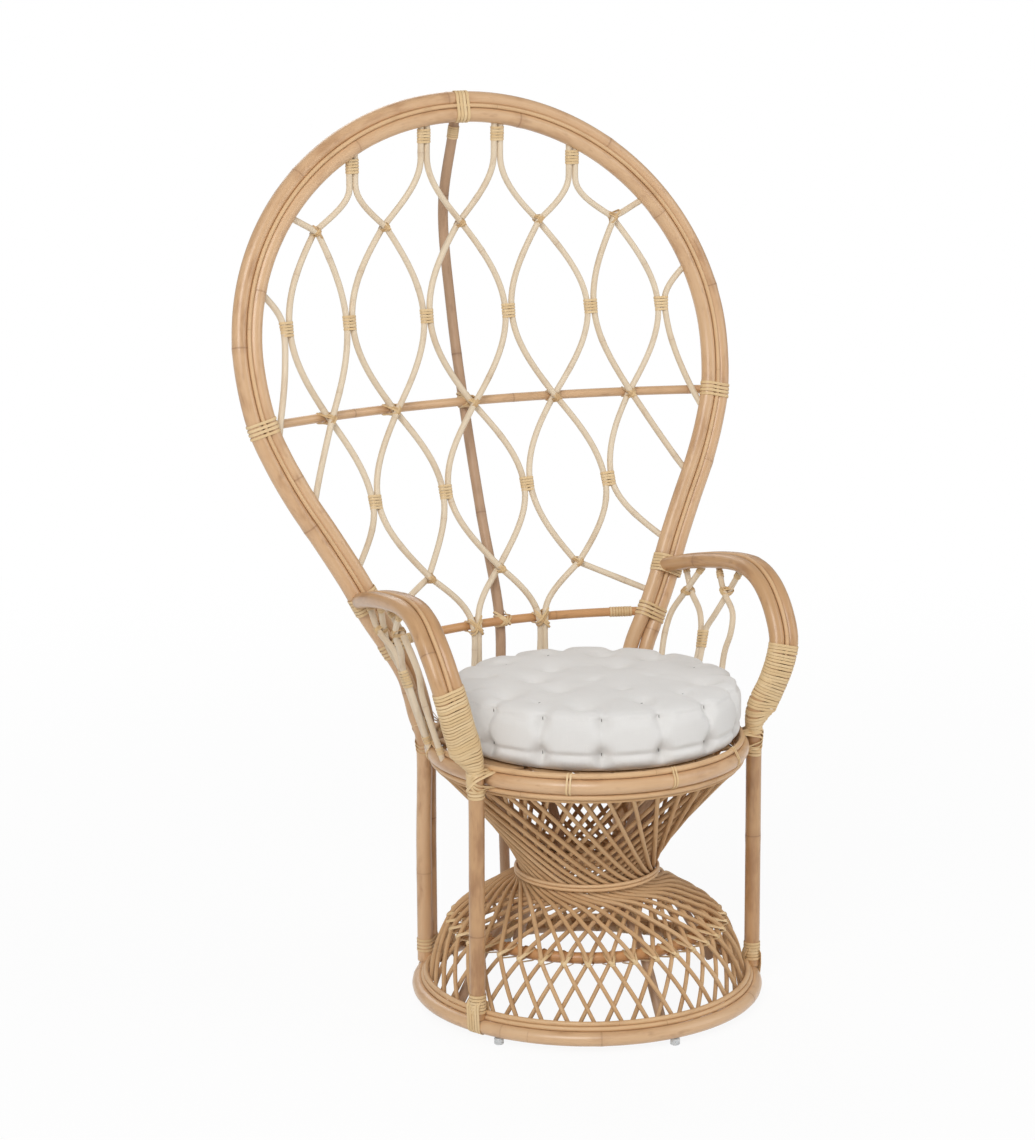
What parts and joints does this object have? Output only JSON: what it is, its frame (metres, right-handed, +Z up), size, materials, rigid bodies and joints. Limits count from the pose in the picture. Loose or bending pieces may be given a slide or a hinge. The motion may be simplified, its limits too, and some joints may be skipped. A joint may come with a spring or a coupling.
{
  "type": "peacock chair",
  "caption": "Rattan peacock chair with a wide round lattice back, curved arms and an hourglass woven base, with a loose round tufted seat cushion.",
  "frame": {"origin": "on the floor, under the middle of the outline of the whole chair", "axes": "+Z up, the sitter faces -Y, +X to the right of a viewer who stands in front of the chair"},
  "size_m": [0.9128, 0.7686, 1.427],
  "materials": {
    "pole": "peeled rattan, satin",
    "cane": "peeled rattan cane, pale, satin",
    "bar": "rattan pole with its skin, orange-brown",
    "weave": "rattan core cane, matt",
    "binding": "flat rattan binding strip, matt",
    "deck": "rattan slats, matt",
    "linen": "natural linen",
    "glide": "clear plastic"
  },
  "bodies": {
    "chair_frame": {"base_ring": "pole", "base_trim_lower": "cane", "base_trim_upper": "cane", "glide_1": "glide", "glide_2": "glide", "glide_3": "glide", "glide_4": "glide", "glide_5": "glide", "glide_6": "glide", "seat_ring": "pole", "seat_trim_upper": "cane", "seat_trim_lower": "cane", "seat_deck": "deck", "weave_outer": "weave", "weave_inner": "weave", "waist_band_upper": "cane", "waist_band_lower": "cane", "inner_ring": "pole", "inner_post_1": "pole", "inner_post_2": "pole", "inner_post_3": "pole", "inner_post_4": "pole", "hoop_outer_pole": "pole", "hoop_inner_pole": "pole", "hoop_groove_cane": "cane", "upper_cross_bar": "pole", "lower_cross_bar": "bar", "spine_pole": "pole", "lattice_left_c1": "cane", "lattice_right_c1": "cane", "lattice_left_c2": "cane", "lattice_right_c2": "cane", "lattice_left_c3": "cane", "lattice_right_c3": "cane", "lattice_left_c4": "cane", "lattice_right_c4": "cane", "lattice_left_c5": "cane", "lattice_right_c5": "cane", "lattice_left_c6": "cane", "lattice_right_c6": "cane", "arm_pole_left_inner": "pole", "arm_pole_left_outer": "pole", "arm_groove_cane_left": "cane", "arm_wrap_left": "binding", "arm_left_c1": "cane", "arm_left_c2": "cane", "arm_left_c3": "cane", "arm_left_c4": "cane", "arm_pole_right_inner": "pole", "arm_pole_right_outer": "pole", "arm_groove_cane_right": "cane", "arm_wrap_right": "binding", "arm_right_c1": "cane", "arm_right_c2": "cane", "arm_right_c3": "cane", "arm_right_c4": "cane"},
    "cushion": {"seat_cushion": "linen"}
  },
  "joints": [
    {"name": "cushion_lift", "type": "slide", "parent": "chair_frame", "child": "cushion", "axis": [0, 0, 1], "range_m": [0, 0.3]}
  ]
}
